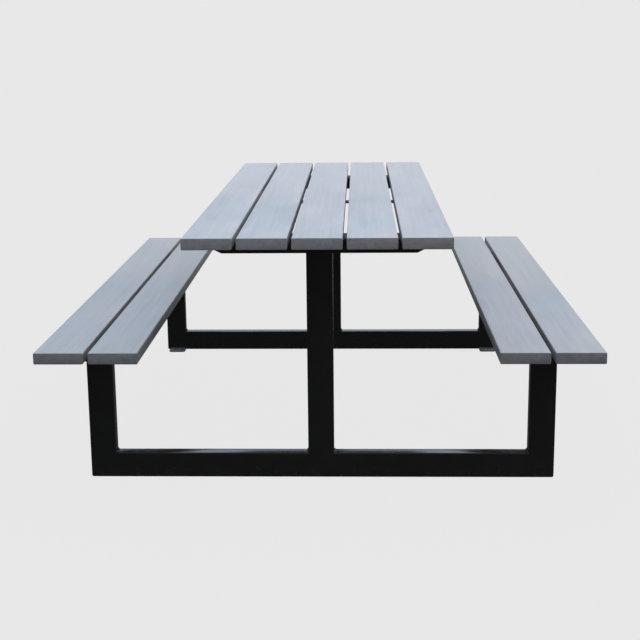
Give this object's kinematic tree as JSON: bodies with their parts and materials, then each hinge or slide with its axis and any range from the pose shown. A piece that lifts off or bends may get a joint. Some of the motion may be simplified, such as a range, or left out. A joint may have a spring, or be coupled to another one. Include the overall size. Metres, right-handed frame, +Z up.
{
  "type": "picnic table",
  "caption": "Walk-through picnic table: a slatted top and two slatted bench seats on welded steel end frames with a rail on the ground.",
  "frame": {"origin": "on the ground, at the middle of the table's outline", "axes": "+X to the right across the table, +Y along the boards towards the rear frame, +Z up"},
  "size_m": [1.654, 2, 0.79],
  "materials": {
    "board": "matt grey board with fine lengthwise grain",
    "frame_steel": "satin black powder coat",
    "strap_steel": "satin black powder coat",
    "fastener": "satin stainless steel"
  },
  "bodies": {
    "root": {"front_base_rail": "frame_steel", "front_centre_post": "frame_steel", "front_left_foot_plate": "frame_steel", "front_left_seat_bearer": "frame_steel", "front_left_seat_post": "frame_steel", "front_right_foot_plate": "frame_steel", "front_right_seat_bearer": "frame_steel", "front_right_seat_post": "frame_steel", "front_table_bearer": "frame_steel", "left_seat_board_inner": "board", "left_seat_board_outer": "board", "left_seat_strap": "strap_steel", "rear_base_rail": "frame_steel", "rear_centre_post": "frame_steel", "rear_left_foot_plate": "frame_steel", "rear_left_seat_bearer": "frame_steel", "rear_left_seat_post": "frame_steel", "rear_right_foot_plate": "frame_steel", "rear_right_seat_bearer": "frame_steel", "rear_right_seat_post": "frame_steel", "rear_table_bearer": "frame_steel", "right_seat_board_inner": "board", "right_seat_board_outer": "board", "right_seat_strap": "strap_steel", "seat_bearer_screws": "fastener", "seat_bearer_washers": "fastener", "seat_strap_screws": "fastener", "table_bearer_screws": "fastener", "table_bearer_washers": "fastener", "table_board_1": "board", "table_board_2": "board", "table_board_3": "board", "table_board_4": "board", "table_board_5": "board", "table_strap": "strap_steel", "table_strap_screws": "fastener"}
  },
  "joints": []
}
